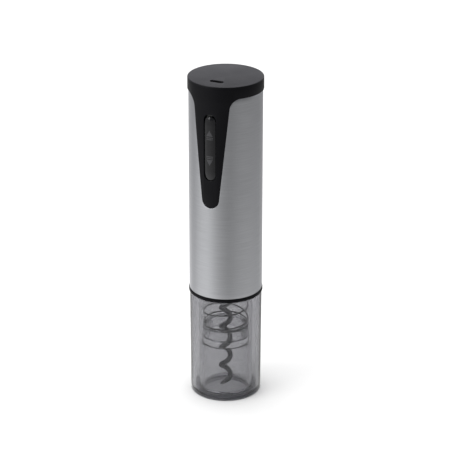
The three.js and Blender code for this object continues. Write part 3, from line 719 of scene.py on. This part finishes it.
class OPENER_OT_cap(bpy.types.Operator):
    """Black cap with its skirt, tongue, switch well and socket hole"""

    bl_idname = "opener.cap"
    bl_label = "Cap"

    def execute(self, context):
        bm = joined(cap_skin(), cap_top())
        bmesh.ops.remove_doubles(bm, verts=bm.verts, dist=2e-3)
        bmesh.ops.recalc_face_normals(bm, faces=bm.faces)
        piece = settled("cap_and_tongue", bm, FINISHES["cap_plastic"])
        hole = lying_pill(HOLE_WIDTH, HOLE_DEPTH, CAP_HIGH.z - 6, CAP_HIGH.z + 1)
        lip = lying_pill(HOLE_WIDTH, HOLE_DEPTH, CAP_HIGH.z - 0.35, CAP_HIGH.z + 0.25, 0.45)
        for tool in (hole, lip):
            cut_with(piece, settled("socket_hole", tool, FINISHES["cap_plastic"]))
        creased(piece.data, 30)
        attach(piece, "housing")
        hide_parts("top_cap")
        fitted("switch_well", well_frame(), FINISHES["black_plastic"], "housing", ())
        return {"FINISHED"}


class OPENER_OT_steel(bpy.types.Operator):
    """Brushed steel sleeve, notched round the tongue"""

    bl_idname = "opener.steel"
    bl_label = "Steel sleeve"

    def execute(self, context):
        low, high = STEEL_LOW.z, STEEL_HIGH.z
        side = tongue_side(0, SKIRT_Z)
        half = [(-HALF_WRAP, high), (-HALF_WRAP, low), (0, low)] + side[::-1] + [(side[0][0], high)]
        bm = bmesh.new()
        sheet_halves(bm, half, 0.6)
        eased(bm, rim_edges(bm, lambda x, z: abs(x) < HALF_WRAP - 0.1), 0.12, 2)
        bmesh.ops.delete(bm, geom=faces_at(bm, 0, HALF_WRAP), context="FACES")
        sliced(bm, 0, WRAP_PLACES)
        sliced(bm, 2, spread(low, high, 3))
        wrapped(bm, lambda z: STEEL_HIGH.x, NOMINAL)
        bmesh.ops.remove_doubles(bm, verts=bm.verts, dist=1e-3)
        finish = FINISHES["brushed_steel"]
        fitted("brushed_sleeve", bm, finish, "housing", ("steel_sleeve",))
        return {"FINISHED"}


class OPENER_OT_ring(bpy.types.Operator):
    """Black ring between the steel and the clear base"""

    bl_idname = "opener.ring"
    bl_label = "Joint ring"

    def execute(self, context):
        inner, spigot, outer = 23.2, 24.45, RING_HIGH.x
        low, step, high = RING_LOW.z, STEEL_LOW.z - 0.3, RING_HIGH.z
        bm = turned(
            [
                (inner, low, 0.2),
                (outer, low, 0.35),
                (outer, step, 0.35),
                (spigot, step, 0.1),
                (spigot, high, 0.3),
                (inner, high, 0.3),
            ]
        )
        fitted("seal_ring", bm, FINISHES["black_plastic"], "housing", ("joint_ring",))
        return {"FINISHED"}


FLOOR_TOP = 3.4  # upper face of the clear base's floor
SHOULDER_Z = 76.1  # where the base steps in to its spigot, under the ring


class OPENER_OT_base(bpy.types.Operator):
    """Smoked clear base, with its floor and its upper spigot"""

    bl_idname = "opener.base"
    bl_label = "Clear base"

    def execute(self, context):
        s = sizes()
        neck, wall = mm(s.neck_radius), mm(s.wall)
        foot_r, top_r, chamfer = 24.6, BASE_HIGH.x, mm(s.foot_chamfer)
        spigot_out, spigot_in, spigot_top = 22.9, 21.3, BASE_HIGH.z
        inner = foot_r - wall + 0.3
        outline = [
            (neck + 0.6, 0, 0),
            (foot_r - chamfer, 0, 0.3),
            (foot_r, chamfer, 0.3),
            (top_r, SHOULDER_Z, 0.3),
            (spigot_out, SHOULDER_Z, 0.2),
            (spigot_out, spigot_top, 0.4),
            (spigot_in, spigot_top, 0.4),
            (spigot_in, SHOULDER_Z + 0.8, 0.4),
            (inner, SHOULDER_Z - 1.5, 0.4),
            (inner, FLOOR_TOP, 0.9),
            (neck, FLOOR_TOP, 0.4),
            (neck, 0.6, 0.2),
        ]
        bm = turned(outline, BASE_AROUND)
        fitted("smoked_base", bm, FINISHES["smoked_clear"], "housing", ("clear_base",))
        return {"FINISHED"}


class OPENER_OT_guide(bpy.types.Operator):
    """Clear tube that the bottle goes up and the shuttle slides in"""

    bl_idname = "opener.guide"
    bl_label = "Guide tube"

    def execute(self, context):
        neck = mm(sizes().neck_radius)
        low, ledge, flange, top = SLEEVE_LOW.z, SHUTTLE_LOW.z - 0.3, 93.6, SLEEVE_HIGH.z
        bore, outer, flange_r = 17.3, 19, 22.3
        bm = turned(
            [
                (neck, low, 0.4),
                (outer, low, 0.5),
                (outer, flange, 0.4),
                (flange_r, flange, 0.3),
                (flange_r, top, 0.3),
                (bore, top, 0.3),
                (bore, ledge, 0.3),
                (neck, ledge, 0.5),
            ],
            CLEAR_AROUND,
        )
        fitted("guide_tube", bm, FINISHES["tube_clear"], "housing", ("guide_sleeve",))
        return {"FINISHED"}


class OPENER_OT_shuttle(bpy.types.Operator):
    """Sprung clear collar that meets the bottle and grips the cork"""

    bl_idname = "opener.shuttle"
    bl_label = "Shuttle"

    def execute(self, context):
        low, seat, high = SHUTTLE_LOW.z, SHUTTLE_LOW.z + 4, SHUTTLE_HIGH.z
        outer, mouth, throat, bore = 16.3, 15.6, 15.2, 12.1
        bm = turned(
            [
                (mouth, low, 0.2),
                (outer, low, 0.2),
                (outer, high, 0.5),
                (bore, high, 0.5),
                (bore, seat, 0.3),
                (throat, seat, 0.3),
            ],
            CLEAR_AROUND,
        )
        edge, root, foot, head = 10.9, bore + 0.1, seat + 0.9, high - 0.9
        fins = []
        for turn in (0, math.pi):
            fin = bmesh.new()
            pushed(fin, [(edge, foot), (root, foot), (root, head), (edge, head)], -0.5, 0.5)
            bmesh.ops.rotate(fin, verts=fin.verts, cent=(0, 0, 0), matrix=Matrix.Rotation(turn, 3, "Z"))
            fins.append(fin)
        finish = FINISHES["faint_clear"]
        fitted("cork_collar", joined(bm, *fins), finish, "shuttle", ("shuttle",))
        return {"FINISHED"}


def helix_point(radius, turn, z, phase):
    """A point after so many turns round Z, from a starting angle in degrees."""
    angle = math.radians(phase) + turn * FULL_TURN
    return Vector((radius * math.cos(angle), radius * math.sin(angle), z))


class OPENER_OT_spring(bpy.types.Operator):
    """Spring above the shuttle, with a closed turn at each end"""

    bl_idname = "opener.spring"
    bl_label = "Spring"

    def execute(self, context):
        s = sizes()
        wire, radius = mm(s.spring_wire), mm(s.spring_radius)
        low, high, close_rise = SPRING_LOW.z + wire, SPRING_HIGH.z - wire, 1.2
        open_turns = (high - low - 2 * close_rise) / mm(s.spring_pitch)
        count, start = 420, -76
        points = []
        for i in range(count + 1):
            turn = i / count * (open_turns + 2)
            opened = min(open_turns, max(0, turn - 1))
            z = low + opened * mm(s.spring_pitch) + (turn - opened) * close_rise
            points.append(helix_point(radius, turn, z, start))
        bm = drawn_wire(points, [wire] * len(points), 10)
        finish = FINISHES["spring_steel"]
        piece = fitted("return_spring", bm, finish, "housing", ("spring",))
        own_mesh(piece)
        return {"FINISHED"}


class OPENER_OT_worm(bpy.types.Operator):
    """Right-handed worm with a sharpened point and a straight shank at its top"""

    bl_idname = "opener.worm"
    bl_label = "Worm"

    def execute(self, context):
        s = sizes()
        wire, radius, pitch = mm(s.worm_wire), mm(s.worm_radius), mm(s.worm_pitch)
        tip_z, top_z = 4.6, 93.9
        straight_from, straight_to = 78, 84
        start, start_z = 25, 11.1
        point, point_length = 0.28, 4.2
        count = 360
        points, radii = [], []
        for i in range(count + 1):
            z = tip_z + (top_z - tip_z) * i / count
            coiled = 1 - smooth_step(z, straight_from, straight_to)
            points.append(helix_point(radius * coiled, (z - start_z) / pitch, z, start))
            sharpened = min(1, point + (1 - point) * (z - tip_z) / point_length)
            radii.append(wire * sharpened ** 0.8)
        bm = drawn_wire(points, radii, 20)
        fitted("corkscrew_worm", bm, FINISHES["coated_worm"], "output", ("worm",))
        return {"FINISHED"}


CROWN_R = 7.5  # radius of the rocker's crowned front
ROCKER_SKIRT = -22.6  # depth at which the rocker widens, deep in its well
MARK_PROUD = 0.04  # how far the marks stand out


def crown_drop(x):
    """How far the crowned front falls back beside its middle."""
    return CROWN_R - math.sqrt(max(0, CROWN_R * CROWN_R - x * x))


def rocker_skirt():
    """The rocker's wider foot, which hides what is behind it."""
    width, height = ROCKER_HIGH.x - ROCKER_LOW.x, ROCKER_HIGH.z - ROCKER_LOW.z
    back = -21.4
    bm = bmesh.new()
    pushed(bm, pill_outline(width, height, ROCKER_MIDDLE), ROCKER_SKIRT, back)
    return bm


def rocker_bar():
    """The rocker's bar: a pill with a crowned front that slopes back towards both ends."""
    narrower, shorter = 0.3, 1.3
    slope, slope_length = 0.8, 6
    front = ROCKER_LOW.y
    top = ROCKER_HIGH.z - shorter
    middle = (ROCKER_LOW.z + top) / 2
    width, height = ROCKER_HIGH.x - ROCKER_LOW.x - narrower, top - ROCKER_LOW.z
    bm = bmesh.new()
    pushed(bm, pill_outline(width, height, middle, 12), front, ROCKER_SKIRT + 0.3)
    sliced(bm, 0, spread(-width / 2, width / 2, 0.35))
    sliced(bm, 2, spread(middle - height / 2, middle + height / 2, 1.2))
    for vert in bm.verts:
        if abs(vert.co.y - front) < 1e-4:
            end = max(0, abs(vert.co.z - middle) - (height / 2 - slope_length)) / slope_length
            vert.co.y = front + crown_drop(vert.co.x) + slope * end * end
    rim = []
    for edge in bm.edges:
        if len(edge.link_faces) == 2 and edge.calc_face_angle(0) > math.radians(40):
            if max(v.co.y for v in edge.verts) < ROCKER_SKIRT - 0.3:
                rim.append(edge)
    eased(bm, rim, 0.85, 5)
    return bm


def mark_outlines(middle):
    """Two arrows: each a triangle with two short bars at its foot."""
    out, half, tall, bar = 8.4, 2.35, 4.1, 0.62
    outlines = []
    for side in (1, -1):
        foot = middle + side * out
        outlines.append([(-half, foot), (half, foot), (0, foot + side * tall)])
        for lift in (-0.75, -1.95):
            near = foot + side * lift
            far = near - side * bar
            outlines.append([(-half, near), (half, near), (half, far), (-half, far)])
    return outlines


def rocker_marks():
    """Thin plates in the shape of the marks, laid on the rocker's crowned front."""
    front = ROCKER_LOW.y
    bm = bmesh.new()
    for outline in mark_outlines(ROCKER_MIDDLE):
        pushed(bm, outline, front, front + 0.4)
    sliced(bm, 0, spread(-2.4, 2.4, 0.35))
    for vert in bm.verts:
        vert.co.y += crown_drop(vert.co.x) - MARK_PROUD
    return bm


class OPENER_OT_rocker(bpy.types.Operator):
    """Long rocker switch with its two arrows"""

    bl_idname = "opener.rocker"
    bl_label = "Rocker"

    def execute(self, context):
        bm = joined(rocker_bar(), rocker_skirt())
        fitted("rocker", bm, FINISHES["gloss_black"], "rocker", ("rocker_button",))
        fitted("rocker_marks", rocker_marks(), FINISHES["marks"], "rocker", ())
        return {"FINISHED"}


class OPENER_OT_socket(bpy.types.Operator):
    """Charging socket in the cap's top"""

    bl_idname = "opener.socket"
    bl_label = "Charging socket"

    def execute(self, context):
        low, high = SOCKET_LOW.z, SOCKET_HIGH.z
        piece = settled("socket_shell", lying_pill(8.9, 3.2, low, high), FINISHES["plated_steel"])
        mouth = lying_pill(8.2, 2.5, low + 1.1, high + 1)
        cut_with(piece, settled("mouth", mouth, FINISHES["plated_steel"]))
        creased(piece.data, 30)
        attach(piece, "housing")
        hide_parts("charge_socket")
        half, thick, foot, head = 3.2, 0.7, low + 0.9, high - 0.9
        outline = [(-half, foot), (half, foot), (half, head), (-half, head)]
        tongue = bmesh.new()
        pushed(tongue, outline, SOCKET_Y - thick / 2, SOCKET_Y + thick / 2)
        fitted("socket_tongue", tongue, FINISHES["black_plastic"], "housing", ())
        return {"FINISHED"}


class OPENER_OT_works(bpy.types.Operator):
    """Finishes for the works inside the body, which keep the shapes that they have"""

    bl_idname = "opener.works"
    bl_label = "Works"

    def execute(self, context):
        slots = {row["node"]: row["material_slot"] for row in frame["record"]["subparts"]}
        for node, piece in frame["nodes"].items():
            piece.data.materials.clear()
            piece.data.materials.append(FINISHES[slots[node]])
        return {"FINISHED"}


# ---------------------------------------------------------------- studio

AXIS_SHIFT = -0.00167  # of the picture's width: the opener stands just to the right of its middle

# How bright the surroundings are in each direction round the opener: degrees from the camera, and a level.
GLOW_ROUND = (
    (-90, 0.84), (-65, 0.82), (-50, 0.79), (-37, 0.74), (-24, 0.63), (-10, 0.54), (5, 0.47), (22, 0.49),
    (40, 0.55), (70, 0.57), (100, 0.52), (130, 0.5), (180, 0.75), (206, 0.9), (240, 0.62), (262, 0.76),
    (270, 0.84),
)  # fmt: skip


def floor_material(tone):
    """A plain pale floor that grows white far off, where it meets the white surroundings."""
    material, tree, surface, place = shader("pale_floor")
    away = tree.nodes.new("ShaderNodeVectorMath")
    away.operation = "LENGTH"
    fade = tree.nodes.new("ShaderNodeMapRange")
    fade.interpolation_type = "SMOOTHSTEP"
    dialled(fade, {"From Min": 0.5, "From Max": 4})
    tree.links.new(place.outputs["Object"], away.inputs[0])
    tree.links.new(away.outputs["Value"], fade.inputs["Value"])
    tree.links.new(tinted(tree, fade.outputs["Result"], tone, (1, 1, 1)), surface.inputs["Base Color"])
    dialled(surface, {"Roughness": 0.9, "Specular IOR Level": 0.1})
    return material


def stage_plane(name, size, matrix, material):
    """A square that belongs to the studio, with its size in metres."""
    bm = bmesh.new()
    bmesh.ops.create_grid(bm, x_segments=1, y_segments=1, size=size / 2)
    bmesh.ops.transform(bm, matrix=matrix, verts=bm.verts)
    mesh = bpy.data.meshes.new(name)
    bm.to_mesh(mesh)
    bm.free()
    mesh.materials.append(material)
    plane = bpy.data.objects.new(name, mesh)
    bpy.context.scene.collection.objects.link(plane)
    return plane


def floor_glow():
    """What the floor adds to reflections: it changes round the opener and fades with distance."""
    material = bpy.data.materials.new("floor_glow")
    material.use_nodes = True
    tree = material.node_tree
    tree.nodes.clear()
    output = tree.nodes.new("ShaderNodeOutputMaterial")
    light = tree.nodes.new("ShaderNodeEmission")
    place = tree.nodes.new("ShaderNodeTexCoord")
    turn = tree.nodes.new("ShaderNodeMapping")
    dialled(turn, {"Rotation": (0, 0, -VIEW_TURN)})
    bearing = tree.nodes.new("ShaderNodeTexGradient")
    bearing.gradient_type = "RADIAL"
    levels = tree.nodes.new("ShaderNodeValToRGB")
    levels.color_ramp.interpolation = "CARDINAL"
    stops = levels.color_ramp.elements
    rows = [stops[0], stops[1]] + [stops.new(0.5) for _ in GLOW_ROUND[2:]]
    for stop, (degrees, level) in zip(rows, GLOW_ROUND):
        stop.position = (degrees + 90) / 360
        stop.color = (level, level, level, 1)
    away = tree.nodes.new("ShaderNodeVectorMath")
    away.operation = "LENGTH"
    fall = tree.nodes.new("ShaderNodeMapRange")
    dialled(fall, {"From Min": 0.1, "From Max": 0.7, "To Min": 1.15, "To Max": 0.53})
    tree.links.new(place.outputs["Object"], turn.inputs["Vector"])
    tree.links.new(turn.outputs["Vector"], bearing.inputs["Vector"])
    tree.links.new(bearing.outputs["Fac"], levels.inputs["Fac"])
    tree.links.new(place.outputs["Object"], away.inputs[0])
    tree.links.new(away.outputs["Value"], fall.inputs["Value"])
    tree.links.new(levels.outputs["Color"], light.inputs["Color"])
    tree.links.new(fall.outputs["Result"], light.inputs["Strength"])
    tree.links.new(light.outputs["Emission"], output.inputs["Surface"])
    return material


def soft_light(name, size, size_y, power, place, aim):
    """An oblong lamp that looks at a point."""
    data = bpy.data.lights.new(name, "AREA")
    data.shape = "RECTANGLE"
    data.size, data.size_y, data.energy = size, size_y, power
    lamp = bpy.data.objects.new(name, data)
    lamp.location = place
    lamp.rotation_euler = (Vector(aim) - Vector(place)).to_track_quat("-Z", "Y").to_euler()
    bpy.context.scene.collection.objects.link(lamp)


def studio_world():
    """White to the eye, to the floor and through the clear base; glossy surfaces see a softer grey."""
    world = bpy.data.worlds.new("studio")
    world.use_nodes = True
    tree = world.node_tree
    tree.nodes.clear()
    output = tree.nodes.new("ShaderNodeOutputWorld")
    path = tree.nodes.new("ShaderNodeLightPath")
    place = tree.nodes.new("ShaderNodeTexCoord")
    split = tree.nodes.new("ShaderNodeSeparateXYZ")
    turn = tree.nodes.new("ShaderNodeMapping")
    dialled(turn, {"Rotation": (0, 0, -VIEW_TURN)})
    tree.links.new(place.outputs["Generated"], turn.inputs["Vector"])
    tree.links.new(turn.outputs["Vector"], split.inputs["Vector"])
    behind = tree.nodes.new("ShaderNodeMapRange")
    behind.interpolation_type = "SMOOTHSTEP"
    dialled(behind, {"From Min": -0.3, "From Max": 0.75, "To Min": 0.12, "To Max": 1.15})
    tree.links.new(split.outputs["Y"], behind.inputs["Value"])
    white = tree.nodes.new("ShaderNodeBackground")
    grey = tree.nodes.new("ShaderNodeBackground")
    dialled(white, {"Color": (1, 1, 1, 1)})
    dialled(grey, {"Color": (0.965, 0.96, 1.02, 1)})
    tree.links.new(behind.outputs["Result"], grey.inputs["Strength"])
    mix = tree.nodes.new("ShaderNodeMixShader")
    tree.links.new(path.outputs["Is Glossy Ray"], mix.inputs["Fac"])
    tree.links.new(white.outputs["Background"], mix.inputs[1])
    tree.links.new(grey.outputs["Background"], mix.inputs[2])
    tree.links.new(mix.outputs["Shader"], output.inputs["Surface"])
    world.cycles.sampling_method = "NONE"
    bpy.context.scene.world = world


class OPENER_OT_studio(bpy.types.Operator):
    """Pale floor, soft lights and the camera"""

    bl_idname = "opener.studio"
    bl_label = "Studio"

    def execute(self, context):
        s = context.scene.opener_studio
        floor = stage_plane("floor", 12, Matrix.Identity(4), floor_material(tuple(s.floor_tone)))
        floor.visible_glossy = False
        glow = stage_plane("floor_glow", 10, Matrix.Translation((0, 0, -0.0005)), floor_glow())
        glow.data.materials[0].cycles.emission_sampling = "NONE"
        for ray in ("visible_camera", "visible_diffuse", "visible_transmission", "visible_shadow"):
            setattr(glow, ray, False)
        turn = Matrix.Rotation(s.camera_turn, 3, "Z")
        aim = Vector((0, 0, s.aim_height))
        soft_light("key", 0.9, 1.2, s.key_power, turn @ Vector((-1.12, -0.57, 0.75)), aim)
        soft_light("overhead", 1.6, 1.6, s.top_power, turn @ Vector((-0.2, 0.35, 1.6)), aim)
        studio_world()
        data = bpy.data.cameras.new("camera")
        data.lens, data.sensor_width = s.focal_length, 36
        data.shift_x = AXIS_SHIFT
        data.clip_start = 0.05
        camera = bpy.data.objects.new("camera", data)
        camera.location = turn @ Vector((0, -s.camera_distance, s.camera_height))
        camera.rotation_euler = (aim - camera.location).to_track_quat("-Z", "Y").to_euler()
        context.scene.collection.objects.link(camera)
        context.scene.camera = camera
        context.scene.view_settings.view_transform = "Standard"
        return {"FINISHED"}


class OPENER_PT_panel(bpy.types.Panel):
    """Lists the opener's pieces"""

    bl_idname = "OPENER_PT_panel"
    bl_label = "Wine Opener"
    bl_space_type = "VIEW_3D"
    bl_region_type = "UI"
    bl_category = "Wine Opener"

    def draw(self, context):
        for operator in OPERATORS:
            self.layout.operator(operator.bl_idname)
        scene = context.scene
        for group in (scene.opener_sizes, scene.opener_colours, scene.opener_studio):
            column = self.layout.column()
            for name in type(group).__annotations__:
                column.prop(group, name)


OPERATORS = (
    OPENER_OT_works,
    OPENER_OT_cap,
    OPENER_OT_steel,
    OPENER_OT_ring,
    OPENER_OT_base,
    OPENER_OT_guide,
    OPENER_OT_shuttle,
    OPENER_OT_spring,
    OPENER_OT_worm,
    OPENER_OT_rocker,
    OPENER_OT_socket,
    OPENER_OT_studio,
)
CLASSES = (OpenerSizes, OpenerColours, StudioSettings, *OPERATORS, OPENER_PT_panel)


def register():
    """Adds everything to Blender."""
    for cls in CLASSES:
        bpy.utils.register_class(cls)
    bpy.types.Scene.opener_sizes = PointerProperty(type=OpenerSizes)
    bpy.types.Scene.opener_colours = PointerProperty(type=OpenerColours)
    bpy.types.Scene.opener_studio = PointerProperty(type=StudioSettings)


def unregister():
    """Takes them away again."""
    del bpy.types.Scene.opener_studio
    del bpy.types.Scene.opener_colours
    del bpy.types.Scene.opener_sizes
    for cls in reversed(CLASSES):
        bpy.utils.unregister_class(cls)


def main():
    """Builds the opener and its studio."""
    register()
    FINISHES.update(make_materials(bpy.context.scene.opener_colours))
    for operator in OPERATORS:
        group, name = operator.bl_idname.split(".")
        getattr(getattr(bpy.ops, group), name)()


if __name__ == "__main__":
    main()
